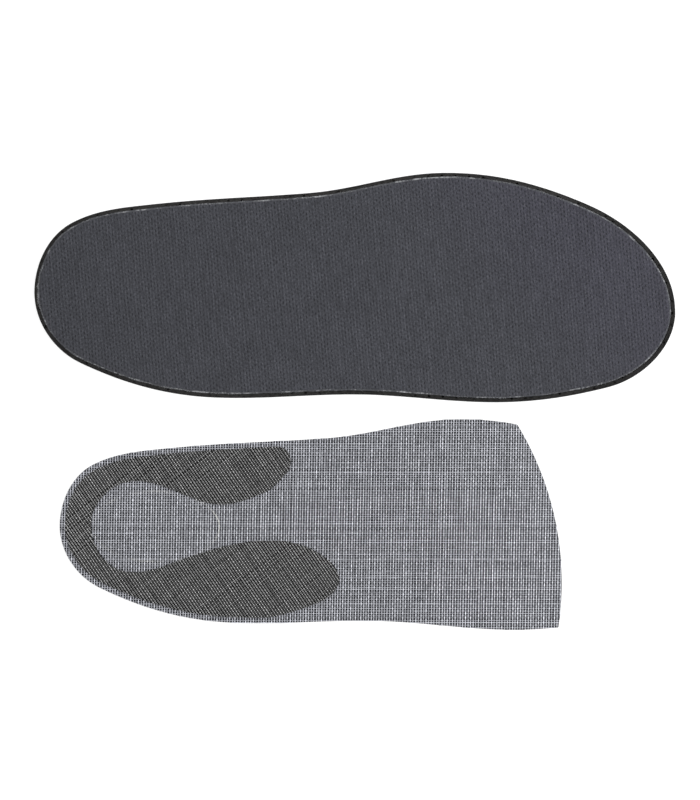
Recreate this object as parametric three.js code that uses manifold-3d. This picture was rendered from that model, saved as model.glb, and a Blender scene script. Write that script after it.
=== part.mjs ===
// A left insole for a shoe, 280 mm long, with the stiffening core that beds into its underside
// laid out beside it. +X runs from heel to toe, +Y to the outer side of the foot, +Z up, in mm.
// Insole, from the floor up: base foam with the core's bed cut through it, cushion foam,
// pale backing, knitted cover. Core: lower ply with a soft heel insert, upper ply, horseshoe ply.
import * as THREE from 'three';
import { mergeVertices } from 'three/addons/utils/BufferGeometryUtils.js';
import Module from 'manifold-3d';

const wasm = await Module();
wasm.setup();

// Overall sizes of the insole, with the reach of its edge to each side of the centre line.
const insoleLength = 280.4;
const heelEndAcross = 1.7;
const toeTipAcross = -6.9;
const heelOuterReach = 40.3;
const heelInnerReach = 44.4;
const waistOuterReach = 45.2;
const waistInnerReach = 43.0;
const ballOuterReach = 54.0;
const ballInnerReach = 46.4;

// How far the edge's corner anchors fall back from those reaches and from the toe tip.
const heelOuterDrop = 7.9;
const heelInnerDrop = 15.3;
const toeOuterDrop = 14.3;
const toeInnerDrop = 6.6;
const toeOuterSetback = 37.4;
const toeInnerSetback = 29.3;

// Thickness of each layer of the core and of the insole.
const lowerPlyThick = 0.6;
const upperPlyThick = 0.6;
const horseshoeThick = 0.5;
const bedHeadroom = 0.3; // between the horseshoe and the ceiling of the bed
const baseThick = lowerPlyThick + upperPlyThick + horseshoeThick + bedHeadroom;
const cushionThick = 3.2;
const backingThick = 0.4;
const coverThick = 0.9;

// The cut flank of the foam leans in by this much from the floor to the top of the cushion.
const flankLean = 1.8;
const backingStep = 0.1; // backing's edge, in from the top of the flank
const coverStep = 0.5; // cover's edge, in from the backing's edge

// The core follows the insole's edge at this distance and ends in an arc under the ball of the foot.
const coreInset = 4.3;
const coreFrontRadius = 132.3;
const coreFrontCentre = new THREE.Vector2(91.7, -22.4);
const bedClearance = 0.4; // all round the core in its bed
const horseshoeMargin = 2.4; // horseshoe's outer edge, in from the core's edge

// Oval insert under the heel, let into the lower ply.
const insertCentre = new THREE.Vector2(46.4, 1.6);
const insertHalfLength = 27.7;
const insertHalfWidth = 15.4;
const insertClearance = 0.3;

// Where the core lies beside the insole.
const laidGap = 7.4; // clear floor between the two
const laidForward = 6.9; // core's shift towards the toe from its place in the bed
const laidTurn = THREE.MathUtils.degToRad(-0.5);

// How finely the curves are cut.
const stepsPerSpan = 9;
const frontArcSteps = 20;
const ovalSteps = 48;
const overcut = 1; // carries a cutter past both faces
const handleShare = 0.35; // length of a curve's handles, as a share of the span between anchors

// An anchor is a point on an edge with the heading, in degrees, at which the edge runs through it.
function anchor(along, across, heading) {
  return { along, across, heading };
}

// The insole's edge, from the heel end along the outer side to the toe and back along the inner.
function insoleAnchors() {
  return [
    anchor(0, heelEndAcross, 90),
    anchor(16.9, heelOuterReach - heelOuterDrop, 27),
    anchor(52.1, heelOuterReach, 6.2),
    anchor(120.3, waistOuterReach, 4.6),
    anchor(177.8, ballOuterReach, 1.2),
    anchor(insoleLength - toeOuterSetback, ballOuterReach - toeOuterDrop, -23.8),
    anchor(insoleLength, toeTipAcross, -90),
    anchor(insoleLength - toeInnerSetback, toeInnerDrop - ballInnerReach, -165.8),
    anchor(201.7, -ballInnerReach, 180),
    anchor(139.5, -waistInnerReach, 180),
    anchor(80.6, -heelInnerReach, 178.2),
    anchor(20.0, heelInnerDrop - heelInnerReach, 154.5),
  ];
}

// The horseshoe's inner edge with its two rounded tips, from the outer tip round the heel.
function horseshoeAnchors() {
  return [
    anchor(101.7, 36.5, -16),
    anchor(103.5, 25.7, -135),
    anchor(93.6, 16.8, -159),
    anchor(76.9, 11.6, 186),
    anchor(58.7, 15.6, 158),
    anchor(36.3, 21.4, 183),
    anchor(18.1, 4.1, -96),
    anchor(33.2, -18.1, -8),
    anchor(60.2, -11.8, 19),
    anchor(92.8, -4.1, 3),
    anchor(115.1, -8.0, -28),
    anchor(126.6, -19.8, -81),
    anchor(117.6, -31.0, -158),
    anchor(95.3, -37.8, -170),
  ];
}

function direction(heading) {
  const angle = THREE.MathUtils.degToRad(heading);
  return new THREE.Vector2(Math.cos(angle), Math.sin(angle));
}

// One cubic curve from each anchor to the next.
function spansThrough(anchors, closed) {
  const spans = [];
  const spanCount = closed ? anchors.length : anchors.length - 1;
  for (let i = 0; i < spanCount; i += 1) {
    const from = anchors[i];
    const to = anchors[(i + 1) % anchors.length];
    const start = new THREE.Vector2(from.along, from.across);
    const end = new THREE.Vector2(to.along, to.across);
    const handle = handleShare * start.distanceTo(end);
    const leaving = direction(from.heading).multiplyScalar(handle).add(start);
    const arriving = direction(to.heading).multiplyScalar(-handle).add(end);
    spans.push(new THREE.CubicBezierCurve(start, leaving, arriving, end));
  }
  return spans;
}

// The insole's edge as a ring of points, moved in by a distance square to the edge.
function insoleRing(inset) {
  const ring = [];
  for (const span of spansThrough(insoleAnchors(), true)) {
    for (let i = 0; i < stepsPerSpan; i += 1) {
      const share = i / stepsPerSpan;
      const run = span.getTangent(share);
      const inward = new THREE.Vector2(run.y, -run.x);
      ring.push(span.getPoint(share).addScaledVector(inward, inset));
    }
  }
  return ring.reverse(); // counter-clockwise
}

// Where the line between two points meets the front arc.
function meetArc(inside, outside, radius) {
  const run = outside.clone().sub(inside);
  const back = inside.clone().sub(coreFrontCentre);
  const a = run.lengthSq();
  const b = run.dot(back);
  const c = back.lengthSq() - radius * radius;
  const share = (Math.sqrt(b * b - a * c) - b) / a;
  return inside.clone().addScaledVector(run, share);
}

// The core's edge, grown by a distance on every side.
function coreRing(growth) {
  const ring = insoleRing(coreInset - growth);
  const radius = coreFrontRadius + growth;
  const isBehind = (point) => point.distanceTo(coreFrontCentre) < radius;
  const count = ring.length;
  const first = ring.findIndex((point, i) => isBehind(point) && !isBehind(ring[(i + count - 1) % count]));
  const turned = [...ring.slice(first), ...ring.slice(0, first)];
  const edge = turned.filter(isBehind);
  const outerCorner = meetArc(edge[0], turned[count - 1], radius);
  const innerCorner = meetArc(edge[edge.length - 1], turned[edge.length], radius);
  const fromAngle = innerCorner.clone().sub(coreFrontCentre).angle() - 2 * Math.PI;
  const toAngle = outerCorner.clone().sub(coreFrontCentre).angle();
  for (let i = 0; i <= frontArcSteps; i += 1) {
    const angle = THREE.MathUtils.lerp(fromAngle, toAngle, i / frontArcSteps);
    const reach = new THREE.Vector2(Math.cos(angle), Math.sin(angle)).multiplyScalar(radius);
    edge.push(reach.add(coreFrontCentre));
  }
  return edge;
}

function ovalRing(growth) {
  const ring = [];
  for (let i = 0; i < ovalSteps; i += 1) {
    const angle = (2 * Math.PI * i) / ovalSteps;
    const along = (insertHalfLength + growth) * Math.cos(angle);
    const across = (insertHalfWidth + growth) * Math.sin(angle);
    ring.push(new THREE.Vector2(along, across).add(insertCentre));
  }
  return ring;
}

// What is cut away from the core's outline to leave the horseshoe: its mouth and all that is in front.
function horseshoeMouth() {
  const anchors = horseshoeAnchors();
  const runOut = 13; // carries both ends past the horseshoe's outer edge
  const beyond = insoleLength / 2; // clear of the outline on either side
  const ring = [];
  const first = anchors[0];
  const last = anchors[anchors.length - 1];
  const start = new THREE.Vector2(first.along, first.across);
  const end = new THREE.Vector2(last.along, last.across);
  ring.push(start.clone().addScaledVector(direction(first.heading), -runOut));
  for (const span of spansThrough(anchors, false)) {
    for (let i = 0; i < stepsPerSpan; i += 1) {
      ring.push(span.getPoint(i / stepsPerSpan));
    }
  }
  ring.push(end);
  const leaving = end.clone().addScaledVector(direction(last.heading), runOut);
  ring.push(leaving);
  ring.push(new THREE.Vector2(leaving.x, -beyond));
  ring.push(new THREE.Vector2(insoleLength, -beyond));
  ring.push(new THREE.Vector2(insoleLength, beyond));
  ring.push(new THREE.Vector2(ring[0].x, beyond));
  return ring;
}

// A flat sheet between two heights, its edge square to its faces.
function flatSheet(ring, low, high, openings = []) {
  const shape = new THREE.Shape(ring);
  shape.holes = openings.map((opening) => new THREE.Path(opening));
  const geometry = new THREE.ExtrudeGeometry(shape, { depth: high - low, bevelEnabled: false });
  return geometry.translate(0, 0, low);
}

// A sheet between two heights whose flank leans from the lower ring to the upper one.
function leaningSheet(lowRing, highRing, low, high) {
  const count = lowRing.length;
  const heights = [...lowRing.map(() => low), ...highRing.map(() => high)];
  const positions = [...lowRing, ...highRing].flatMap((point, i) => [point.x, point.y, heights[i]]);
  const index = [];
  for (const [a, b, c] of THREE.ShapeUtils.triangulateShape(lowRing, [])) {
    index.push(c, b, a);
    index.push(a + count, b + count, c + count);
  }
  for (let i = 0; i < count; i += 1) {
    const next = (i + 1) % count;
    index.push(i, next, next + count);
    index.push(i, next + count, i + count);
  }
  const geometry = new THREE.BufferGeometry();
  geometry.setAttribute('position', new THREE.Float32BufferAttribute(positions, 3));
  geometry.setIndex(index);
  return geometry;
}

function toSolid(geometry) {
  const bare = geometry.clone();
  bare.deleteAttribute('normal');
  bare.deleteAttribute('uv');
  const merged = mergeVertices(bare);
  const mesh = new wasm.Mesh({
    numProp: 3,
    vertProperties: new Float32Array(merged.attributes.position.array),
    triVerts: new Uint32Array(merged.index.array),
  });
  return new wasm.Manifold(mesh);
}

function toGeometry(solid) {
  const mesh = solid.getMesh();
  const geometry = new THREE.BufferGeometry();
  geometry.setAttribute('position', new THREE.BufferAttribute(mesh.vertProperties, 3));
  geometry.setIndex(new THREE.BufferAttribute(mesh.triVerts, 1));
  return geometry;
}

function cutFrom(geometry, cutter) {
  return toGeometry(toSolid(geometry).subtract(toSolid(cutter)));
}

function makePiece(name, geometry, color, roughness) {
  const material = new THREE.MeshStandardMaterial({ color, roughness, metalness: 0 });
  const mesh = new THREE.Mesh(geometry, material);
  mesh.name = name;
  return mesh;
}

// How far in the flank has come at a height above the floor.
function leanAt(height) {
  return (flankLean * height) / (baseThick + cushionThick);
}

// Lower foam sheet. The core's bed goes right through it, so the cushion is the bed's ceiling.
function baseFoam() {
  const sheet = leaningSheet(insoleRing(0), insoleRing(leanAt(baseThick)), 0, baseThick);
  const bed = flatSheet(coreRing(bedClearance), -overcut, baseThick + overcut);
  return makePiece('base_foam', cutFrom(sheet, bed), 0x2c2c2e, 0.95);
}

function cushionFoam() {
  const top = baseThick + cushionThick;
  const sheet = leaningSheet(insoleRing(leanAt(baseThick)), insoleRing(leanAt(top)), baseThick, top);
  return makePiece('cushion_foam', sheet, 0x2a2a2b, 0.95);
}

function coverBacking() {
  const low = baseThick + cushionThick;
  const sheet = flatSheet(insoleRing(flankLean + backingStep), low, low + backingThick);
  return makePiece('cover_backing', sheet, 0xa19d94, 0.9);
}

function topCover() {
  const low = baseThick + cushionThick + backingThick;
  const sheet = flatSheet(insoleRing(flankLean + backingStep + coverStep), low, low + coverThick);
  return makePiece('top_cover', sheet, 0x47484d, 0.9);
}

function coreLowerPly() {
  const sheet = flatSheet(coreRing(0), 0, lowerPlyThick, [ovalRing(insertClearance)]);
  return makePiece('core_lower_ply', sheet, 0x86888c, 0.6);
}

function heelInsert() {
  return makePiece('heel_insert', flatSheet(ovalRing(0), 0, lowerPlyThick), 0xd0cab6, 0.8);
}

function coreUpperPly() {
  const sheet = flatSheet(coreRing(0), lowerPlyThick, lowerPlyThick + upperPlyThick);
  return makePiece('core_upper_ply', sheet, 0x86888c, 0.6);
}

function heelHorseshoe() {
  const low = lowerPlyThick + upperPlyThick;
  const high = low + horseshoeThick;
  const blank = flatSheet(coreRing(-horseshoeMargin), low, high);
  const mouth = flatSheet(horseshoeMouth(), low - overcut, high + overcut);
  return makePiece('heel_horseshoe', cutFrom(blank, mouth), 0x575757, 0.55);
}

const insole = new THREE.Group();
insole.add(baseFoam(), cushionFoam(), coverBacking(), topCover());

// The core is drawn in its place in the bed, then turned and laid beside the insole's inner side.
const core = new THREE.Group();
core.add(coreLowerPly(), heelInsert(), coreUpperPly(), heelHorseshoe());
core.rotation.z = laidTurn;
core.updateMatrixWorld(true);
const insoleBox = new THREE.Box3().setFromObject(insole, true);
const coreBox = new THREE.Box3().setFromObject(core, true);
const bedBox = new THREE.Box2().setFromPoints(coreRing(0));
core.position.x = bedBox.min.x + laidForward - coreBox.min.x;
core.position.y = insoleBox.min.y - laidGap - coreBox.max.y;

// The origin lies on the floor, in the middle of the two.
const part = new THREE.Group();
part.add(insole, core);
const wholeBox = new THREE.Box3().setFromObject(part, true);
const middle = wholeBox.getCenter(new THREE.Vector3());
part.position.set(-middle.x, -middle.y, -wholeBox.min.z);

export default part;
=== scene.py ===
import math

import bmesh
import bpy
import numpy as np
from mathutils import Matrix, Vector
from mathutils.geometry import delaunay_2d_cdt


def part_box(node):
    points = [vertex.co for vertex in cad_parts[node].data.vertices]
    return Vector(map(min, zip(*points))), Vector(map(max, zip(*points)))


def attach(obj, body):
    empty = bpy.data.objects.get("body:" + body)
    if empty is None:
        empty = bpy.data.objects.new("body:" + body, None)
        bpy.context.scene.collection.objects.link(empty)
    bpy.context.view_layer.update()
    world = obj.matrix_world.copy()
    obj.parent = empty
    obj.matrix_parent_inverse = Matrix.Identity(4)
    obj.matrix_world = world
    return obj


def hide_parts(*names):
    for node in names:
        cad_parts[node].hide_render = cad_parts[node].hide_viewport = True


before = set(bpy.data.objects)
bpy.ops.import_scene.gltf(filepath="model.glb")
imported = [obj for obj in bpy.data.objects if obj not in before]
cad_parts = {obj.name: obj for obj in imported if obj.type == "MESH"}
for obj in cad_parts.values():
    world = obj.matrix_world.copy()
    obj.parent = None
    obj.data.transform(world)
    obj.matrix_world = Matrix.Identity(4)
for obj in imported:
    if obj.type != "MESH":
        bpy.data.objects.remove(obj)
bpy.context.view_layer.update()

mm = 0.001
scene = bpy.context.scene

# Camera, light and floor. The camera stands far off, so that the low edges show evenly all round.
studio = {
    "cameraHeight": 2.6,
    "cameraOver": (-2.1 * mm, 0.53 * mm),  # the point it looks straight down on
    "viewLong": 349.9 * mm,  # floor covered along the upright side of the view
    "sensor": 36.0,
    "floorSize": 8.0,
    "floorGap": 0.1 * mm,
    "floorTone": 0.5,
    "floorGlow": 0.6,  # lit from below a little, like a light table
    "domeStrength": 1.06,
    "keyPower": 14,
    "keySize": 0.9,
    "keyPlace": (0.95, 0.35, 1.25),
}


def addCamera():
    data = bpy.data.cameras.new("camera")
    data.sensor_width = studio["sensor"]
    data.lens = studio["sensor"] * studio["cameraHeight"] / studio["viewLong"]
    data.clip_start = 0.01
    data.clip_end = 50
    camera = bpy.data.objects.new("camera", data)
    camera.location = (*studio["cameraOver"], studio["cameraHeight"])
    scene.collection.objects.link(camera)
    scene.camera = camera


def addLights():
    world = bpy.data.worlds.new("dome")
    world.use_nodes = True
    background = world.node_tree.nodes["Background"]
    background.inputs["Color"].default_value = (1, 1, 1, 1)
    background.inputs["Strength"].default_value = studio["domeStrength"]
    scene.world = world
    scene.view_settings.view_transform = "Standard"
    data = bpy.data.lights.new("key", "AREA")
    data.energy = studio["keyPower"]
    data.size = studio["keySize"]
    key = bpy.data.objects.new("key", data)
    key.location = studio["keyPlace"]
    key.rotation_euler = Vector(studio["keyPlace"]).to_track_quat("Z", "Y").to_euler()
    scene.collection.objects.link(key)


def addFloor():
    half = studio["floorSize"] / 2
    low = -studio["floorGap"]
    corners = [(-half, -half, low), (half, -half, low), (half, half, low), (-half, half, low)]
    mesh = bpy.data.meshes.new("floor")
    mesh.from_pydata(corners, [], [(0, 1, 2, 3)])
    floor = bpy.data.objects.new("floor", mesh)
    scene.collection.objects.link(floor)
    material = bpy.data.materials.new("pale floor")
    material.use_nodes = True
    shader = material.node_tree.nodes["Principled BSDF"]
    tone = studio["floorTone"]
    shader.inputs["Base Color"].default_value = (tone, tone, tone, 1)
    shader.inputs["Roughness"].default_value = 1
    shader.inputs["Specular IOR Level"].default_value = 0
    shader.inputs["Emission Color"].default_value = (1, 1, 1, 1)
    shader.inputs["Emission Strength"].default_value = studio["floorGlow"]
    mesh.materials.append(material)


# Loops of points. Each runs counter-clockwise, in metres, and is taken from the frame's solids.
def loopArea(loop):
    x, y = loop[:, 0], loop[:, 1]
    return 0.5 * float(np.sum(x * np.roll(y, -1) - np.roll(x, -1) * y))


def faceLoops(nodeName, height):
    # the edges of a node's flat face at this height, the largest first
    touching = 1e-6
    solid = bmesh.new()
    solid.from_mesh(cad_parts[nodeName].data)
    bmesh.ops.remove_doubles(solid, verts=solid.verts, dist=touching)
    level = {f for f in solid.faces if all(abs(v.co.z - height) < touching for v in f.verts)}
    rim = [e for e in solid.edges if sum(f in level for f in e.link_faces) == 1]
    neighbours = {}
    for edge in rim:
        for vertex in edge.verts:
            neighbours.setdefault(vertex, []).append(edge.other_vert(vertex))
    loops = []
    waiting = set(neighbours)
    while waiting:
        start = min(waiting, key=lambda v: (v.co.x, v.co.y))
        walk = [start]
        last, here = start, neighbours[start][0]
        while here is not start:
            walk.append(here)
            ahead = [v for v in neighbours[here] if v is not last]
            last, here = here, ahead[0]
        waiting -= set(walk)
        loop = np.array([(v.co.x, v.co.y) for v in walk])
        loops.append(loop if loopArea(loop) > 0 else loop[::-1])
    solid.free()
    return sorted(loops, key=loopArea, reverse=True)


def smoothLoop(loop, step):
    # a curve through the points in steps of about this length, with true corners kept
    cornerTurn = math.radians(25)
    arriving = loop - np.roll(loop, 1, axis=0)
    leaving = np.roll(arriving, -1, axis=0)
    turn = np.abs(np.arctan2(
        arriving[:, 0] * leaving[:, 1] - arriving[:, 1] * leaving[:, 0],
        np.sum(arriving * leaving, axis=1),
    ))
    count = len(loop)
    fine = []
    for i in range(count):
        p0, p1, p2, p3 = (loop[(i + k) % count] for k in (-1, 0, 1, 2))
        if turn[i] > cornerTurn:
            p0 = 2 * p1 - p2
        if turn[(i + 1) % count] > cornerTurn:
            p3 = 2 * p2 - p1
        parts = max(1, round(np.linalg.norm(p2 - p1) / step))
        for t in np.arange(parts) / parts:
            bend = (p2 - p0) * t + (2 * p0 - 5 * p1 + 4 * p2 - p3) * t**2
            fine.append(p1 + 0.5 * (bend + (3 * p1 - p0 - 3 * p2 + p3) * t**3))
    return np.array(fine)


def inward(loop, distance):
    # each point moved in, square to the edge; the distance may vary from point to point
    run = np.roll(loop, -1, axis=0) - np.roll(loop, 1, axis=0)
    run /= np.linalg.norm(run, axis=1)[:, None]
    square = np.column_stack((-run[:, 1], run[:, 0]))
    return loop + square * np.broadcast_to(distance, len(loop))[:, None]


def loopRun(loop):
    steps = np.linalg.norm(np.roll(loop, -1, axis=0) - loop, axis=1)
    return np.concatenate(([0], np.cumsum(steps)[:-1])), float(steps.sum())


def ripple(run, spacing, rng, around=None):
    # smooth random numbers from -1 to 1 along a run, closed on itself if around is its length
    if around is not None:
        spacing = around / max(3, round(around / spacing))
        knots = rng.uniform(-1, 1, round(around / spacing))
        knots = np.append(knots, knots[:2])
        place = run / spacing
    else:
        place = (run - run.min()) / spacing
        knots = rng.uniform(-1, 1, int(place.max()) + 3)
    left = place.astype(int)
    share = place - left
    share = share * share * (3 - 2 * share)
    return knots[left] * (1 - share) + knots[left + 1] * share


def runsInside(loops, heading, offset):
    # where a straight line lies inside the loops: pairs of distances along it
    along = np.array((math.cos(heading), math.sin(heading)))
    square = np.array((-along[1], along[0]))
    meets = []
    for loop in loops:
        a, b = loop @ along, loop @ square - offset
        nextA, nextB = np.roll(a, -1), np.roll(b, -1)
        crossing = (b < 0) != (nextB < 0)
        share = b[crossing] / (b[crossing] - nextB[crossing])
        meets.extend(a[crossing] + share * (nextA[crossing] - a[crossing]))
    meets.sort()
    return list(zip(meets[::2], meets[1::2]))


def fillFlat(points, loops):
    # triangles between the loops' edges that use every point; loops are lists of indices
    edges = [(loop[i], loop[(i + 1) % len(loop)]) for loop in loops for i in range(len(loop))]
    flat = [Vector((x / mm, y / mm)) for x, y in points]
    insideOnly, nearness = 1, 1e-5
    made = delaunay_2d_cdt(flat, edges, [], insideOnly, nearness)
    origin = [sources[0] for sources in made[3]]
    return [tuple(origin[i] for i in face) for face in made[2]]


# Solids from stacked loops, and finishing them as pieces.
def stackedSolid(rings, topPoints=None):
    # rings are (loop, height) from the lowest up, all with as many points; topPoints are (x, y, z)
    count = len(rings[0][0])
    points = [(x, y, height) for loop, height in rings for x, y in loop]
    faces = []
    for level in range(len(rings) - 1):
        base = level * count
        for i in range(count):
            after = (i + 1) % count
            faces.append((base + i, base + after, base + count + after, base + count + i))
    faces += [face[::-1] for face in fillFlat(rings[0][0], [list(range(count))])]
    topBase = (len(rings) - 1) * count
    topLoop = rings[-1][0]
    if topPoints is not None:
        topLoop = np.vstack((topLoop, topPoints[:, :2]))
        points += [tuple(point) for point in topPoints]
    faces += [tuple(topBase + i for i in face) for face in fillFlat(topLoop, [list(range(count))])]
    return points, faces


def softEdged(loop, low, high, rounding):
    # a flat sheet's rings, with both edges rounded off
    corner = rounding * (1 - math.sqrt(0.5))
    return [
        (inward(loop, rounding), low),
        (inward(loop, corner), low + corner),
        (loop, low + rounding),
        (loop, high - rounding),
        (inward(loop, corner), high - corner),
        (inward(loop, rounding), high),
    ]


def makePiece(name, points, faces, material, body, creaseAngle=40):
    mesh = bpy.data.meshes.new(name)
    mesh.from_pydata(points, [], faces)
    mesh.materials.append(material)
    mesh.shade_smooth()
    mesh.set_sharp_from_angle(angle=math.radians(creaseAngle))
    piece = bpy.data.objects.new(name, mesh)
    scene.collection.objects.link(piece)
    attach(piece, body)
    return piece


def cutWith(piece, points, faces):
    mesh = bpy.data.meshes.new("cutter")
    mesh.from_pydata(points, [], faces)
    cutter = bpy.data.objects.new("cutter", mesh)
    scene.collection.objects.link(cutter)
    cut = piece.modifiers.new("cut", "BOOLEAN")
    cut.object = cutter
    cut.solver = "MANIFOLD"
    shaped = piece.evaluated_get(bpy.context.evaluated_depsgraph_get())
    whole = piece.data
    piece.data = bpy.data.meshes.new_from_object(shaped)
    piece.modifiers.clear()
    piece.data.name = piece.name
    bpy.data.meshes.remove(whole)
    bpy.data.objects.remove(cutter)
    bpy.data.meshes.remove(mesh)
    piece.data.shade_smooth()
    piece.data.set_sharp_from_angle(angle=math.radians(30))


def paint(piece, colours):
    # one linear colour for each point of the mesh, read by the material as "tone"
    attribute = piece.data.attributes.new("tone", "FLOAT_COLOR", "POINT")
    rgba = np.ones((len(colours), 4), dtype=np.float32)
    rgba[:, :3] = colours
    attribute.data.foreach_set("color", rgba.ravel())


# Material helpers.
def newMaterial(name):
    material = bpy.data.materials.new(name)
    material.use_nodes = True
    return material, material.node_tree, material.node_tree.nodes["Principled BSDF"]


def addNode(tree, kind, inputs=None, **settings):
    node = tree.nodes.new("ShaderNode" + kind)
    for key, value in settings.items():
        setattr(node, key, value)
    for key, value in (inputs or {}).items():
        if isinstance(value, bpy.types.NodeSocket):
            tree.links.new(value, node.inputs[key])
        else:
            node.inputs[key].default_value = value
    return node


def mathNode(tree, operation, first, second=0.0):
    return addNode(tree, "Math", {0: first, 1: second}, operation=operation).outputs[0]


def placeNode(tree, turn=0.0, scale=(1, 1, 1)):
    # the piece's own coordinates in metres, turned about Z and then stretched
    coordinates = addNode(tree, "TexCoord").outputs["Object"]
    turned = addNode(tree, "Mapping", {"Vector": coordinates, "Rotation": (0, 0, -turn)})
    stretched = addNode(tree, "Mapping", {"Vector": turned.outputs[0], "Scale": scale})
    return stretched.outputs[0]


def noiseNode(tree, place, scale, detail=2.0, roughness=0.5):
    inputs = {"Vector": place, "Scale": scale, "Detail": detail, "Roughness": roughness}
    return addNode(tree, "TexNoise", inputs).outputs["Fac"]


def rangeNode(tree, value, low, high, toLow, toHigh):
    inputs = {"Value": value, "From Min": low, "From Max": high, "To Min": toLow, "To Max": toHigh}
    return addNode(tree, "MapRange", inputs, interpolation_type="SMOOTHSTEP").outputs["Result"]


def blendNode(tree, share, first, second, how="MIX"):
    node = addNode(tree, "Mix", data_type="RGBA", blend_type=how)
    for socket, value in zip((node.inputs[0], node.inputs[6], node.inputs[7]), (share, first, second)):
        if isinstance(value, bpy.types.NodeSocket):
            tree.links.new(value, socket)
        elif isinstance(value, tuple):
            socket.default_value = (*value, 1)
        else:
            socket.default_value = value
    return node.outputs[2]


def bumpNode(tree, height, distance, strength=1.0):
    inputs = {"Height": height, "Distance": distance, "Strength": strength}
    return addNode(tree, "Bump", inputs).outputs["Normal"]


# Black foam, in two sheets: the lower with the core's bed, the upper with rows of small holes.
# insoleEdge, foamTop, flankLean and backingInset are measured from the frame further down.
foam = {
    "darkTone": (0.0022, 0.0022, 0.0022),
    "paleTone": (0.0240, 0.0232, 0.0228),
    "fadeBand": (0.32, 0.58),  # the noise levels between which dark turns pale
    "cloudShare": 0.25,  # how much of the fading lies in broad patches
    "grainFineness": 0.8 / mm,
    "cloudFineness": 0.09 / mm,
    "shadedEnds": (85 * mm, 135 * mm),  # how far from the middle the ends are painted darker, as shade
    "endsShade": 0.64,
    "cellSize": 0.32 * mm,
    "cellDepth": 0.06 * mm,
    "edgeStep": 1.2 * mm,
    "layerStep": 0.4 * mm,
    "cutWobble": 0.05 * mm,  # how unevenly the flank is cut
    "wobbleSpacing": (3 * mm, 1.3 * mm),
    "toeShows": 0.38 * mm,  # how much more foam shows round the toe
    "toeStart": 60 * mm,
    "toeRun": 75 * mm,
    "holePitch": 6.0 * mm,
    "holeRowGap": 2.6 * mm,
    "holeRadius": 0.6 * mm,
    "holeSides": 14,
    "holeTurn": math.radians(-1.5),
    "holeStart": (-3.5 * mm, 3.2 * mm),
    "baseSeed": 11,
    "cushionSeed": 12,
}


def foamMaterial():
    material, tree, shader = newMaterial("black foam")
    place = placeNode(tree)
    cells = addNode(tree, "TexVoronoi", {"Vector": place, "Scale": 1 / foam["cellSize"]})
    grain = noiseNode(tree, place, foam["grainFineness"], 3)
    cloud = noiseNode(tree, place, foam["cloudFineness"], 2)
    fine = mathNode(tree, "MULTIPLY", grain, 1 - foam["cloudShare"])
    shade = mathNode(tree, "ADD", mathNode(tree, "MULTIPLY", cloud, foam["cloudShare"]), fine)
    # the heel and the toe ends are painted darker than the long sides: painted shade on the heel's flank,
    # turned from the light, and the same darkening at the toe
    ends = mathNode(tree, "ABSOLUTE", addNode(tree, "SeparateXYZ", {0: place}).outputs[0])
    share = mathNode(
        tree, "MULTIPLY",
        rangeNode(tree, shade, *foam["fadeBand"], 0, 1),
        rangeNode(tree, ends, *foam["shadedEnds"], 1, foam["endsShade"]),
    )
    colour = blendNode(tree, share, foam["darkTone"], foam["paleTone"])
    tree.links.new(colour, shader.inputs["Base Color"])
    tree.links.new(rangeNode(tree, grain, 0.3, 0.7, 0.82, 0.97), shader.inputs["Roughness"])
    height = mathNode(tree, "ADD", cells.outputs["Distance"], mathNode(tree, "MULTIPLY", grain, 0.5))
    tree.links.new(bumpNode(tree, height, foam["cellDepth"], 0.7), shader.inputs["Normal"])
    shader.inputs["Specular IOR Level"].default_value = 0.04
    return material


def foamRings(low, high, rng):
    # the flank leans in steadily from the floor to the top of the upper sheet
    steps = max(2, round((high - low) / foam["layerStep"]))
    run, around = loopRun(insoleEdge)
    slow, fast = foam["wobbleSpacing"]
    wobble = ripple(run, slow, rng, around)
    rings = []
    for height in np.linspace(low, high, steps + 1):
        fine = ripple(run, fast, rng, around)
        lean = flankLean * height / foamTop
        cut = foam["cutWobble"] * (0.6 + 0.2 * wobble + 0.2 * fine)
        rings.append((inward(insoleEdge, lean + cut), height))
    return rings


def baseFoam(material):
    low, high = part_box("base_foam")[0][2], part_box("base_foam")[1][2]
    points, faces = stackedSolid(foamRings(low, high, np.random.default_rng(foam["baseSeed"])))
    piece = makePiece("foam_base", points, faces, material, "insole")
    bed = smoothLoop(faceLoops("base_foam", low)[1], foam["edgeStep"])
    cutWith(piece, *stackedSolid([(bed, low - mm), (bed, high + mm)]))
    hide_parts("base_foam")
    return piece


def holeCentres():
    # a staggered grid of holes, wherever one reaches into the sheet
    turn, gap, pitch = foam["holeTurn"], foam["holeRowGap"], foam["holePitch"]
    start = np.array(foam["holeStart"])
    along = np.array((math.cos(turn), math.sin(turn)))
    square = np.array((-along[1], along[0]))
    offsets = insoleEdge @ square - start @ square
    centres = []
    for row in range(math.ceil(offsets.min() / gap), math.floor(offsets.max() / gap) + 1):
        offset = row * gap + start @ square
        shift = start @ along + (pitch / 2 if row % 2 else 0)
        for first, last in runsInside([insoleEdge], turn, offset):
            for k in range(math.ceil((first - shift) / pitch), math.floor((last - shift) / pitch) + 1):
                centres.append(along * (shift + k * pitch) + square * offset)
    return centres


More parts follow.
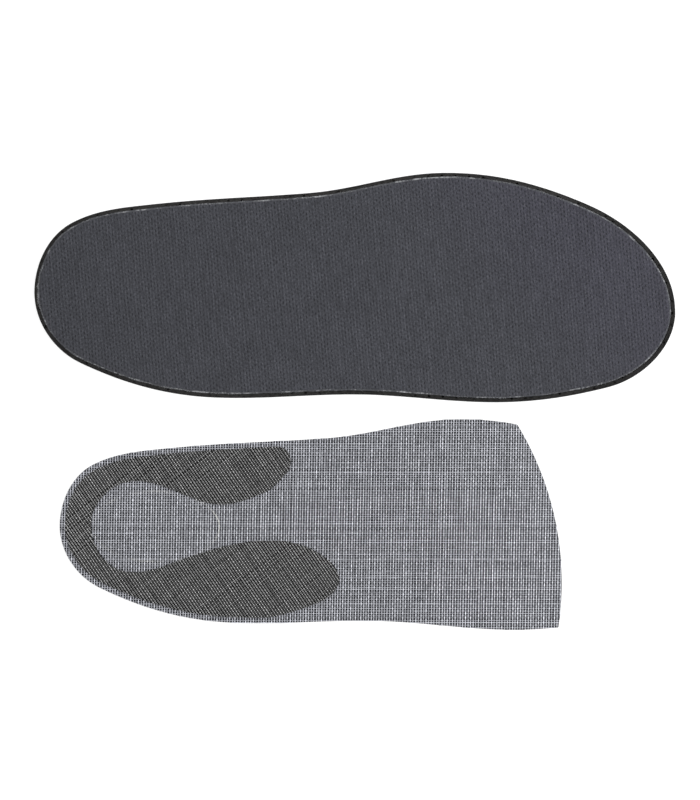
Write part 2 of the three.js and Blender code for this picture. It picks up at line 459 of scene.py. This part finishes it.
def cushionFoam(material):
    low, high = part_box("cushion_foam")[0][2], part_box("cushion_foam")[1][2]
    points, faces = stackedSolid(foamRings(low, high, np.random.default_rng(foam["cushionSeed"])))
    piece = makePiece("foam_cushion", points, faces, material, "insole")
    sides = foam["holeSides"]
    angles = 2 * math.pi * np.arange(sides) / sides
    circle = foam["holeRadius"] * np.column_stack((np.cos(angles), np.sin(angles)))
    cutterPoints, cutterFaces = [], []
    for centre in holeCentres():
        base = len(cutterPoints)
        ring = circle + centre
        cutterPoints += [(x, y, z) for z in (low - mm, high + mm) for x, y in ring]
        cutterFaces += [
            (base + i, base + (i + 1) % sides, base + sides + (i + 1) % sides, base + sides + i)
            for i in range(sides)
        ]
        cutterFaces.append(tuple(base + i for i in reversed(range(sides))))
        cutterFaces.append(tuple(base + sides + i for i in range(sides)))
    cutWith(piece, cutterPoints, cutterFaces)
    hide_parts("cushion_foam")
    return piece


def toeSetBack(loop):
    # the cover and its backing are cut further in round the toe, so more of the foam shows there
    share = np.clip((loop[:, 0] - foam["toeStart"]) / foam["toeRun"], 0, 1)
    return foam["toeShows"] * share * share * (3 - 2 * share)


# Pale backing bonded under the knit. Only its cut edge shows, uneven and a little fluffy.
backing = {
    "paleTone": (0.33, 0.335, 0.35),
    "dustTone": (0.064, 0.0665, 0.0745),
    "fibreTones": ((0.14, 0.142, 0.15), (0.52, 0.525, 0.535)),
    "bareBand": (0.48, 0.70),  # the noise levels between which dust gives way to bare backing
    "patchShare": 0.55,
    "patchFineness": 0.16 / mm,
    "speckFineness": 1.3 / mm,
    "heelWear": 2.2,  # how many times more the fibres stand out at the very heel
    "wearRun": 0.6 * mm,
    "edgeWobble": 0.16 * mm,
    "wobbleSpacing": (4.5 * mm, 1.6 * mm),
    "rounding": 0.08 * mm,
    "fibreCount": 1700,
    "fibreLength": (0.35 * mm, 0.9 * mm),
    "fibreWidth": 0.075 * mm,
    "fibreLift": (0.02 * mm, 0.2 * mm),
    "fibreRoot": (0.05 * mm, 0.5 * mm),  # how far inside the edge a fibre starts
    "fibreStray": 0.6 * mm,
    "tuftSpacing": 14 * mm,
    "edgeSeed": 21,
    "fibreSeed": 22,
}


def backingMaterial():
    material, tree, shader = newMaterial("pale backing")
    place = placeNode(tree)
    patches = noiseNode(tree, place, backing["patchFineness"], 2)
    specks = noiseNode(tree, place, backing["speckFineness"], 2)
    broad = mathNode(tree, "MULTIPLY", patches, backing["patchShare"])
    fine = mathNode(tree, "MULTIPLY", specks, 1 - backing["patchShare"])
    bare = rangeNode(tree, mathNode(tree, "ADD", broad, fine), *backing["bareBand"], 0, 1)
    colour = blendNode(tree, bare, backing["dustTone"], backing["paleTone"])
    tree.links.new(colour, shader.inputs["Base Color"])
    tree.links.new(bumpNode(tree, specks, 0.08 * mm), shader.inputs["Normal"])
    shader.inputs["Roughness"].default_value = 0.95
    shader.inputs["Specular IOR Level"].default_value = 0.2
    return material


def fibreMaterial():
    material, tree, shader = newMaterial("loose fibre")
    place = placeNode(tree)
    share = rangeNode(tree, noiseNode(tree, place, 0.3 / mm, 3), 0.35, 0.65, 0, 1)
    tree.links.new(blendNode(tree, share, *backing["fibreTones"]), shader.inputs["Base Color"])
    shader.inputs["Roughness"].default_value = 0.9
    shader.inputs["Specular IOR Level"].default_value = 0.2
    return material


def coverBacking(material):
    low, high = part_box("cover_backing")[0][2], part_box("cover_backing")[1][2]
    rng = np.random.default_rng(backing["edgeSeed"])
    run, around = loopRun(insoleEdge)
    slow, fast = backing["wobbleSpacing"]
    wobble = 0.6 * ripple(run, slow, rng, around) + 0.4 * ripple(run, fast, rng, around)
    edge = inward(insoleEdge, backingInset + toeSetBack(insoleEdge) + backing["edgeWobble"] * wobble)
    points, faces = stackedSolid(softEdged(edge, low, high, backing["rounding"]))
    piece = makePiece("backing_sheet", points, faces, material, "insole")
    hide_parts("cover_backing")
    return piece, edge


def backingFibres(material, edge, high):
    # short ends of fibre lying over the cut edge, thicker in some places than in others
    rng = np.random.default_rng(backing["fibreSeed"])
    run, around = loopRun(edge)
    crowd = np.clip(0.55 + 0.75 * ripple(run, backing["tuftSpacing"], rng, around), 0.05, 1)
    wear = np.exp(-(((edge[:, 0] - edge[:, 0].min()) / backing["wearRun"]) ** 2))
    crowd += backing["heelWear"] * wear
    outward = edge - inward(edge, mm)
    outward /= np.linalg.norm(outward, axis=1)[:, None]
    order = rng.choice(len(edge), backing["fibreCount"], p=crowd / crowd.sum())
    points, faces = [], []
    sides = [(math.cos(a), math.sin(a)) for a in (math.pi / 2, 7 * math.pi / 6, 11 * math.pi / 6)]
    for i in order:
        out = outward[i]
        beside = np.array((-out[1], out[0]))
        stray = beside * rng.uniform(-1, 1) * backing["fibreStray"]
        inset = out * rng.uniform(*backing["fibreRoot"]) * (1 - 0.6 * wear[i])
        root = edge[i] + stray - inset
        lean = rng.normal(0, 1.1)
        heading = out * math.cos(lean) + beside * math.sin(lean)
        length = rng.uniform(*backing["fibreLength"]) * (1 + 0.8 * wear[i])
        curl = beside * rng.normal(0, 0.25) * length
        lift = rng.uniform(*backing["fibreLift"])
        base = len(points)
        for t in (0, 0.5, 1):
            middle = root + heading * length * t * 0.6 + curl * t * t
            height = high + lift * 4 * t * (1 - t) + 0.02 * mm
            width = backing["fibreWidth"] * (1 - 0.5 * t) / 2
            across = np.array((-heading[1], heading[0]))
            for c, s in sides:
                points.append((*(middle + across * width * c), height + width * s))
        for level in (0, 3):
            for k in range(3):
                a, b = base + level + k, base + level + (k + 1) % 3
                faces.append((a, b, b + 3, a + 3))
        faces += [(base + 2, base + 1, base), (base + 6, base + 7, base + 8)]
    return makePiece("backing_fibres", points, faces, material, "insole", 180)


# Knitted cover. Its stitches leave dashes in a staggered pattern, long along the wales, dipped in and
# painted darker as shade.
knit = {
    "tones": ((0.0372, 0.0384, 0.0454), (0.0382, 0.0380, 0.0489)),  # most of it, and the bluer toe
    "toeShift": (80 * mm, 170 * mm),  # from where to where it turns bluer, slantwise
    # painted shade: the colour of the shade in the dashes' dips
    "dashShadeTone": (0.008, 0.0083, 0.0105),
    "fluffTone": (0.062, 0.0635, 0.074),
    "litTowardToe": (0.93, 1.07),  # painted light: how the shade grows brighter from heel to toe, where the light falls from
    "columnPitch": 2.7 * mm,
    "rowPitch": 2.08 * mm,
    "turn": math.radians(5.3),
    "narrowness": 9,
    "dashEnds": (-0.4, 0.35),  # where along its row wave a dash begins and is full
    "dashDepth": 0.2 * mm,
    "edgeWobble": 0.14 * mm,
    "wobbleSpacing": (3.2 * mm, 1.35 * mm),
    "edgeStep": 0.8 * mm,
    "edgeRoll": 0.62 * mm,  # how far in from the edge the dimpled surface begins
    "swell": 0.02 * mm,  # how far the surface rises and falls over the whole sheet
    "uneven": 0.012 * mm,
    "gridAlong": 0.675 * mm,  # a quarter of the column pitch
    "gridAcross": 0.52 * mm,  # a quarter of the row pitch
    "seed": 31,
}


def knitPattern(x, y):
    # 1 in the middle of a dash, 0 on the yarn between dashes
    turn = knit["turn"]
    column = np.cos((x * math.cos(turn) + y * math.sin(turn)) * 2 * math.pi / knit["columnPitch"])
    row = np.cos((y * math.cos(turn) - x * math.sin(turn)) * 2 * math.pi / knit["rowPitch"])
    low, high = knit["dashEnds"]
    ends = np.clip((np.sign(column) * row - low) / (high - low), 0, 1)
    return np.abs(column) ** knit["narrowness"] * ends


def knitMaterial():
    material, tree, shader = newMaterial("grey knit")
    place = placeNode(tree, knit["turn"])
    split = addNode(tree, "SeparateXYZ", {0: place})
    drift = mathNode(tree, "SUBTRACT", noiseNode(tree, place, 0.11 / mm), 0.5)
    drift = mathNode(tree, "MULTIPLY", drift, 2.2)
    across = mathNode(tree, "MULTIPLY", split.outputs[0], 2 * math.pi / knit["columnPitch"])
    along = mathNode(tree, "MULTIPLY", split.outputs[1], 2 * math.pi / knit["rowPitch"])
    driftAcross = mathNode(tree, "MULTIPLY", drift, 0.35)
    driftAlong = mathNode(tree, "MULTIPLY", drift, 0.5)
    column = mathNode(tree, "COSINE", mathNode(tree, "ADD", across, driftAcross))
    row = mathNode(tree, "COSINE", mathNode(tree, "ADD", along, driftAlong))
    beside = mathNode(tree, "ABSOLUTE", column)
    level = mathNode(tree, "MULTIPLY", row, mathNode(tree, "SIGN", column))
    ends = rangeNode(tree, level, *knit["dashEnds"], 0, 1)
    dash = mathNode(tree, "MULTIPLY", mathNode(tree, "POWER", beside, knit["narrowness"]), ends)
    patchy = rangeNode(tree, noiseNode(tree, place, 0.7 / mm, 2), 0.33, 0.6, 0.1, 1.0)
    loose = noiseNode(tree, placeNode(tree, knit["turn"], (1, 0.55, 1)), 1.5 / mm, 2)
    yarn = mathNode(
        tree, "MULTIPLY",
        rangeNode(tree, beside, 0.75, 0.25, 0, 1),
        rangeNode(tree, loose, 0.42, 0.62, 0, 1),
    )
    streaks = noiseNode(tree, placeNode(tree, knit["turn"], (1, 0.16, 1)), 0.85 / mm, 2)
    fibres = noiseNode(tree, placeNode(tree, knit["turn"], (1, 0.6, 1)), 2.3 / mm, 2, 0.6)
    cloud = noiseNode(tree, place, 0.05 / mm, 2)
    lit = mathNode(tree, "MULTIPLY", yarn, rangeNode(tree, fibres, 0.35, 0.7, 0.35, 1.0))
    ahead = mathNode(tree, "MULTIPLY", split.outputs[0], 1.08)
    slantwise = mathNode(tree, "ADD", ahead, mathNode(tree, "MULTIPLY", split.outputs[1], 0.8))
    ground = blendNode(tree, rangeNode(tree, slantwise, *knit["toeShift"], 0, 1), *knit["tones"])
    colour = blendNode(tree, lit, ground, knit["fluffTone"])
    # painted shade: the dashes' dips are painted dark, standing in for the shade that falls in them
    colour = blendNode(tree, mathNode(tree, "MULTIPLY", dash, patchy), colour, knit["dashShadeTone"])
    speck = rangeNode(tree, fibres, 0.3, 0.7, 0.72, 1.24)
    # painted light: the cover is painted brighter toward the toe, where the light falls from
    litTowardToe = rangeNode(tree, split.outputs[0], -140 * mm, 140 * mm, *knit["litTowardToe"])
    shade = mathNode(tree, "MULTIPLY", speck, rangeNode(tree, cloud, 0.3, 0.7, 0.96, 1.04))
    streaky = rangeNode(tree, streaks, 0.3, 0.7, 0.9, 1.1)
    shade = mathNode(tree, "MULTIPLY", shade, mathNode(tree, "MULTIPLY", streaky, litTowardToe))
    grey = addNode(tree, "CombineColor", {0: shade, 1: shade, 2: shade}).outputs[0]
    tree.links.new(blendNode(tree, 1.0, colour, grey, "MULTIPLY"), shader.inputs["Base Color"])
    # the two legs of each stitch lean against each other along the wale
    leg = mathNode(tree, "ABSOLUTE", mathNode(tree, "SINE", across))
    slant = mathNode(tree, "MULTIPLY", leg, 2.5)
    stitch = mathNode(tree, "SINE", mathNode(tree, "ADD", mathNode(tree, "MULTIPLY", along, 4), slant))
    height = mathNode(tree, "ADD", mathNode(tree, "MULTIPLY", stitch, 0.22), fibres)
    height = mathNode(tree, "SUBTRACT", height, mathNode(tree, "MULTIPLY", dash, 0.7))
    tree.links.new(bumpNode(tree, height, 0.1 * mm, 0.8), shader.inputs["Normal"])
    shader.inputs["Roughness"].default_value = 0.9
    shader.inputs["Specular IOR Level"].default_value = 0.2
    shader.inputs["Sheen Weight"].default_value = 0.12
    shader.inputs["Sheen Roughness"].default_value = 0.5
    return material


def topCover(material):
    low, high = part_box("top_cover")[0][2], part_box("top_cover")[1][2]
    rng = np.random.default_rng(knit["seed"])
    outline = smoothLoop(faceLoops("top_cover", high)[0], knit["edgeStep"])
    run, around = loopRun(outline)
    slow, fast = knit["wobbleSpacing"]
    wobble = 0.5 * ripple(run, slow, rng, around) + 0.5 * ripple(run, fast, rng, around)
    edge = inward(outline, toeSetBack(outline) + knit["edgeWobble"] * (0.4 + wobble))
    # the cut edge stands upright and then rolls over toward the surface
    rings = [(edge, low), (edge, low + 0.45 * mm), (inward(edge, 0.08 * mm), high - 0.22 * mm)]
    rings.append((inward(edge, 0.28 * mm), high - 0.07 * mm))
    turn, gridLoop = knit["turn"], inward(edge, knit["edgeRoll"])
    along = np.array((math.cos(turn), math.sin(turn)))
    square = np.array((-along[1], along[0]))
    offsets = gridLoop @ square
    rowGap, pointGap = knit["gridAcross"], knit["gridAlong"]
    grid = []
    for row in range(math.ceil(offsets.min() / rowGap), math.floor(offsets.max() / rowGap) + 1):
        for first, last in runsInside([gridLoop], turn, row * rowGap):
            steps = np.arange(math.ceil(first / pointGap), math.floor(last / pointGap) + 1)
            grid.append(steps[:, None] * pointGap * along + row * rowGap * square)
    grid = np.vstack(grid)
    x, y = grid[:, 0], grid[:, 1]
    swell = knit["swell"] * (np.sin(x / (17 * mm) + 1.3 * np.sin(y / (23 * mm))) - 1)
    dip = knit["dashDepth"] * knitPattern(x, y) * (0.75 + 0.25 * rng.uniform(-1, 1, len(x)))
    uneven = knit["uneven"] * (rng.uniform(-1, 1, len(x)) - 1)
    heights = high + swell - dip + uneven
    points, faces = stackedSolid(rings, np.column_stack((grid, heights)))
    piece = makePiece("knit_cover", points, faces, material, "insole", 60)
    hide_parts("top_cover")
    return piece, outline


# Woven plies of the core. Each thread is a closed strand that runs over and under the others.
upperPly = {
    "node": "core_upper_ply",
    "slot": "woven_laminate",
    "facing": 1,  # the weave shows on the upper side; -1 is the lower side
    "warp": {"heading": math.radians(88.8), "pitch": 1.144 * mm, "width": 0.39 * mm},
    "weft": {"heading": 0.0, "pitch": 1.03 * mm, "width": 0.33 * mm},
    "swing": 0.1 * mm,
    "thick": 0.2 * mm,
    "warpTone": (0.638, 0.085, 0.62),  # the threads' mean, their spread, and the share of it left in a dip, as painted shade
    "weftTone": (0.425, 0.105, 0.62),
    "unevenSpacing": (0.05, 0.07),  # of the warp and of the weft, as a share of the pitch
    "tint": (0.98, 1.0, 1.085),
    "paler": (0.0, 92 * mm, 0.09),  # where along X it grows paler, from and to, and how much
    "resinTone": (0.006, 0.0063, 0.008),
    "seed": 41,
}
lowerPly = dict(
    upperPly,
    node="core_lower_ply",
    facing=-1,
    warpTone=(0.50, 0.11, 0.72),
    weftTone=(0.43, 0.12, 0.62),
    seed=71,
)
horseshoe = {
    "node": "heel_horseshoe",
    "slot": "dark_laminate",
    "facing": 1,
    "warp": {"heading": math.radians(124.5), "pitch": 1.114 * mm, "width": 0.29 * mm},
    "weft": {"heading": math.radians(36.6), "pitch": 0.751 * mm, "width": 0.22 * mm},
    "swing": 0.08 * mm,
    "thick": 0.17 * mm,
    "warpTone": (0.65, 0.12, 0.08),
    "weftTone": (0.31, 0.10, 0.06),
    "unevenSpacing": (0.04, 0.06),
    "tint": (1.0, 1.0, 1.0),
    "paler": (-98 * mm, -129 * mm, 0.1),
    "resinTone": (0.0015, 0.0015, 0.0016),
    "seed": 51,
}


# What all the threads of the three plies share. Spacings say over what length a measure changes.
threads = {
    "filamentFineness": 9 / mm,
    "filamentShade": (0.82, 1.16),
    "filamentDepth": 0.03 * mm,
    "glintFineness": 1.6 / mm,
    "glintShade": (0.8, 1.2),
    "wander": 0.045 * mm,
    "wanderSpacing": 9 * mm,
    "widthChange": 0.1,
    "widthSpacing": 4 * mm,
    "shadeChange": 0.2,
    "shadeSpacing": 5 * mm,
    "speckle": 0.12,
    "nearestPoints": 0.05 * mm,
}


def threadMaterial(name, heading, roughness):
    # fine filaments and painted glints along the thread, over the colour painted at each point, which
    # holds the thread's tone and its painted dip and side shade
    material, tree, shader = newMaterial(name)
    tone = addNode(tree, "Attribute", attribute_name="tone").outputs["Color"]
    place = placeNode(tree, heading, (0.08, 1, 1))
    filaments = noiseNode(tree, place, threads["filamentFineness"], 2, 0.6)
    glints = noiseNode(tree, placeNode(tree, heading, (0.35, 1, 1)), threads["glintFineness"], 2)
    shade = mathNode(
        tree, "MULTIPLY",
        rangeNode(tree, filaments, 0.3, 0.7, *threads["filamentShade"]),
        rangeNode(tree, glints, 0.3, 0.7, *threads["glintShade"]),
    )
    grey = addNode(tree, "CombineColor", {0: shade, 1: shade, 2: shade}).outputs[0]
    tree.links.new(blendNode(tree, 1.0, tone, grey, "MULTIPLY"), shader.inputs["Base Color"])
    gloss = rangeNode(tree, glints, 0.3, 0.7, roughness + 0.1, roughness - 0.08)
    tree.links.new(gloss, shader.inputs["Roughness"])
    tree.links.new(bumpNode(tree, filaments, threads["filamentDepth"], 0.6), shader.inputs["Normal"])
    shader.inputs["Specular IOR Level"].default_value = 0.2
    return material


def resinMaterial(name, tone):
    material, tree, shader = newMaterial(name)
    place = placeNode(tree)
    grain = noiseNode(tree, place, 1.1 / mm, 3)
    pale = tuple(2.1 * channel for channel in tone)
    colour = blendNode(tree, rangeNode(tree, grain, 0.3, 0.7, 0, 1), tone, pale)
    tree.links.new(colour, shader.inputs["Base Color"])
    tree.links.new(rangeNode(tree, grain, 0.3, 0.7, 0.4, 0.6), shader.inputs["Roughness"])
    tree.links.new(bumpNode(tree, grain, 0.03 * mm, 0.5), shader.inputs["Normal"])
    shader.inputs["Specular IOR Level"].default_value = 0.06
    return material


def strands(ply, which, loops, face, rng):
    # every thread of one direction, cut off at the ply's edge
    this = ply[which]
    other = ply["weft" if which == "warp" else "warp"]
    sign = 1 if which == "warp" else -1
    along = np.array((math.cos(this["heading"]), math.sin(this["heading"])))
    square = np.array((-along[1], along[0]))
    otherSquare = np.array((-math.sin(other["heading"]), math.cos(other["heading"])))
    forward, sideways = otherSquare @ along, otherSquare @ square
    facing = ply["facing"]
    middle = face - facing * (ply["swing"] + ply["thick"] / 2)
    meanTone, spread, dipShadeShare = ply[which + "Tone"]
    offsets = np.vstack(loops) @ square
    uneven = ply["unevenSpacing"][0 if which == "warp" else 1]
    points, faces, tones = [], [], []
    lastDraw = 0.0
    lowest, highest = offsets.min() / this["pitch"], offsets.max() / this["pitch"]
    for index in range(math.ceil(lowest), math.floor(highest) + 1):
        offset = (index + uneven * np.clip(rng.normal(), -2, 2)) * this["pitch"]
        draw = np.clip(rng.normal(), -1.8, 1.8)
        # a pale thread lies by a darker one
        threadTone = meanTone + spread * (draw - lastDraw) / math.sqrt(2)
        lastDraw = draw
        for first, last in runsInside(loops, this["heading"], offset):
            if last - first < this["pitch"]:
                continue
            turns = sorted((forward * s + sideways * offset) / other["pitch"] for s in (first, last))
            halves = np.arange(math.ceil(2 * turns[0]), math.floor(2 * turns[1]) + 1) / 2
            crossings = (halves * other["pitch"] - sideways * offset) / forward
            run = np.unique(np.concatenate(([first, last], crossings)))
            run = run[np.concatenate(([True], np.diff(run) > threads["nearestPoints"]))]
            wave = np.cos(math.pi * ((forward * run + sideways * offset) / other["pitch"] + index))
            height = middle + facing * sign * ply["swing"] * wave
            wander = threads["wander"] * ripple(run, threads["wanderSpacing"], rng)
            swelling = threads["widthChange"] * ripple(run, threads["widthSpacing"], rng)
            half = this["width"] / 2 * (1 + swelling)
            centre = run[:, None] * along + (offset + wander)[:, None] * square
            base = len(points)
            for place, side, level in zip(centre, half, height):
                points.append((*(place - facing * side * square), level - facing * ply["thick"] / 4))
                points.append((*place, level + facing * ply["thick"] / 2))
                points.append((*(place + facing * side * square), level - facing * ply["thick"] / 4))
            drift = threads["shadeChange"] * ripple(run, threads["shadeSpacing"], rng)
            speckle = threads["speckle"] * rng.uniform(-1, 1, len(run))
            shade = threadTone * (1 + drift + speckle)
            # painted shade: each thread is painted darker where it dips under the crossing thread, lighter
            # on its crown
            shade = shade * (dipShadeShare + (1 - dipShadeShare) * ((1 + sign * wave) / 2) ** 2)
            paleStart, paleEnd, more = ply["paler"]
            toPale = np.clip((centre[:, 0] - paleStart) / (paleEnd - paleStart), 0, 1)
            shade = shade * (1 + more * toPale)
            flank = 0.7 * shade  # painted shade: a thread is painted darker at its sides than on its crown
            tones.append(np.column_stack((flank, shade, flank)).ravel())
            for k in range(len(run) - 1):
                a = base + 3 * k
                faces += [(a, a + 3, a + 4, a + 1), (a + 1, a + 4, a + 5, a + 2), (a + 2, a + 5, a + 3, a)]
            end = base + 3 * (len(run) - 1)
            faces += [(base, base + 1, base + 2), (end + 2, end + 1, end)]
    tones = np.clip(np.concatenate(tones), 0.01, 0.95)
    return points, faces, tones[:, None] * np.array(ply["tint"])


def wovenPly(ply, loops, pieceName, roughness):
    low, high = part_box(ply["node"])[0][2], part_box(ply["node"])[1][2]
    rng = np.random.default_rng(ply["seed"])
    threadDepth = 2 * ply["swing"] + 0.9 * ply["thick"]
    if ply["facing"] > 0:
        face, sheetLow, sheetHigh = high, low, high - threadDepth
    else:
        face, sheetLow, sheetHigh = low, low + threadDepth, high
    points, faces = stackedSolid(softEdged(loops[0], sheetLow, sheetHigh, 0.04 * mm))
    resin = resinMaterial(pieceName + " resin", ply["resinTone"])
    sheet = makePiece(pieceName + "_sheet", points, faces, resin, "core")
    for opening in loops[1:]:
        cutWith(sheet, *stackedSolid([(opening, low - mm), (opening, high + mm)]))
    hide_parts(ply["node"])
    pieces = {"sheet": sheet}
    for which in ("warp", "weft"):
        points, faces, colours = strands(ply, which, loops, face, rng)
        material = threadMaterial(f"{pieceName} {which}", ply[which]["heading"], roughness)
        thread = makePiece(f"{pieceName}_{which}", points, faces, material, "core", 75)
        pieces[which] = thread
        paint(thread, colours)
    return pieces


# The oval insert under the heel prints through the upper ply as a faint cream line, with a fine
# bead of glue at its front.
oval = {
    "lineTone": (0.82, 0.81, 0.765),
    "lineWidth": 0.36 * mm,
    "beadTones": ((0.60, 0.595, 0.56), (0.80, 0.795, 0.77)),
    "beadWidth": 0.2 * mm,
    "beadRise": 0.05 * mm,
    "beadFrom": 0.3,  # where the line stands out this much the bead begins
    "beadFull": 0.85,  # and here it has its full width
    "padTones": ((0.55, 0.52, 0.42), (0.70, 0.67, 0.56)),
    "rounding": 0.14 * mm,
    "seed": 61,
}


def ovalShows(ovalLoop):
    # how far the line stands out at each point, and how strongly it shows
    rng = np.random.default_rng(oval["seed"])
    run, around = loopRun(ovalLoop)
    middle = ovalLoop.mean(axis=0)
    forward, inner = ((ovalLoop - middle) / np.ptp(ovalLoop, axis=0) * 2).T
    raised = np.clip(0.96 * forward + 0.16 * inner, 0, 1) ** 6
    return raised, np.clip(0.1 + 0.3 * ripple(run, 5 * mm, rng, around) + 0.5 * raised, 0, 1)


def printOval(piece, ovalLoop):
    middle = ovalLoop.mean(axis=0)
    strength = ovalShows(ovalLoop)[1]
    count = len(piece.data.vertices)
    places = np.empty(3 * count)
    piece.data.vertices.foreach_get("co", places)
    places = places.reshape(-1, 3)[:, :2]
    colours = np.empty(4 * count, dtype=np.float32)
    tone = piece.data.attributes["tone"].data
    tone.foreach_get("color", colours)
    colours = colours.reshape(-1, 4)
    reach = 32 * mm  # a little past the oval's far ends
    near = np.where(np.linalg.norm(places - middle, axis=1) < reach)[0]
    gaps = np.linalg.norm(places[near][:, None, :] - ovalLoop[None], axis=2)
    nearest = gaps.argmin(axis=1)
    share = strength[nearest] * np.exp(-((gaps.min(axis=1) / oval["lineWidth"]) ** 2))
    cream = np.array(oval["lineTone"])
    colours[near, :3] += share[:, None] * (cream - colours[near, :3])
    tone.foreach_set("color", colours.ravel())


def glueBead(ovalLoop, top):
    # cream glue pressed up through the weave at the front of the insert
    raised = ovalShows(ovalLoop)[0]
    outward = ovalLoop - inward(ovalLoop, mm)
    outward /= np.linalg.norm(outward, axis=1)[:, None]
    rear = int(ovalLoop[:, 0].argmin())  # the walk starts at the rear, where nothing shows
    start, full = oval["beadFrom"], oval["beadFull"]
    points, faces = [], []
    for i in np.roll(np.arange(len(ovalLoop)), -rear):
        if raised[i] <= start:
            continue
        half = oval["beadWidth"] / 2 * max(0.2, (raised[i] - start) / (full - start)) * outward[i]
        points.append((*(ovalLoop[i] + half), top - oval["beadRise"]))
        points.append((*ovalLoop[i], top + oval["beadRise"]))
        points.append((*(ovalLoop[i] - half), top - oval["beadRise"]))
    for a in range(0, len(points) - 3, 3):
        faces += [(a, a + 3, a + 4, a + 1), (a + 1, a + 4, a + 5, a + 2), (a + 2, a + 5, a + 3, a)]
    end = len(points) - 3
    faces += [(0, 1, 2), (end + 2, end + 1, end)]
    material = creamMaterial("cream glue", oval["beadTones"])
    makePiece("glue_bead", points, faces, material, "core", 75)


def creamMaterial(name, tones):
    material, tree, shader = newMaterial(name)
    place = placeNode(tree)
    grain = noiseNode(tree, place, 1.5 / mm, 3)
    cells = addNode(tree, "TexVoronoi", {"Vector": place, "Scale": 3.2 / mm})
    colour = blendNode(tree, rangeNode(tree, grain, 0.3, 0.7, 0, 1), *tones)
    tree.links.new(colour, shader.inputs["Base Color"])
    tree.links.new(bumpNode(tree, cells.outputs["Distance"], 0.04 * mm, 0.6), shader.inputs["Normal"])
    shader.inputs["Roughness"].default_value = 0.8
    return material


def heelInsert(ovalLoop):
    low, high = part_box("heel_insert")[0][2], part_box("heel_insert")[1][2]
    points, faces = stackedSolid(softEdged(ovalLoop, low, high, oval["rounding"]))
    material = creamMaterial("cream insert", oval["padTones"])
    piece = makePiece("insert_pad", points, faces, material, "core")
    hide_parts("heel_insert")


addCamera()
addLights()
addFloor()
print("camera, lights and floor set")

insoleEdge = smoothLoop(faceLoops("base_foam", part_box("base_foam")[0][2])[0], foam["edgeStep"])
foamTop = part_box("cushion_foam")[1][2]
flankLean = faceLoops("cushion_foam", foamTop)[0][:, 0].min() - insoleEdge[:, 0].min()
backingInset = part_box("cover_backing")[0][0] - insoleEdge[:, 0].min()
black = foamMaterial()
baseFoam(black)
cushionFoam(black)
print("foam made")

pale = backingMaterial()
backingPiece, backingEdge = coverBacking(pale)
fibres = backingFibres(fibreMaterial(), backingEdge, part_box("cover_backing")[1][2])
cover, coverOutline = topCover(knitMaterial())
print("backing and knitted cover made")

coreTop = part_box("core_upper_ply")[1][2]
coreEdge = smoothLoop(faceLoops("core_upper_ply", coreTop)[0], 0.9 * mm)
upper = wovenPly(upperPly, [coreEdge], "upper_ply", 0.5)
ovalLoop = smoothLoop(faceLoops("heel_insert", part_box("heel_insert")[0][2])[0], 0.8 * mm)
printOval(upper["warp"], ovalLoop)
printOval(upper["weft"], ovalLoop)
glueBead(ovalLoop, coreTop)
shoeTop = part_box("heel_horseshoe")[1][2]
shoeEdge = smoothLoop(faceLoops("heel_horseshoe", shoeTop)[0], 0.9 * mm)
wovenPly(horseshoe, [shoeEdge], "horseshoe", 0.48)
lowerLoops = faceLoops("core_lower_ply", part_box("core_lower_ply")[0][2])
wovenPly(lowerPly, [coreEdge, smoothLoop(lowerLoops[1], mm)], "lower_ply", 0.5)
heelInsert(ovalLoop)
print("core plies, horseshoe and insert made")
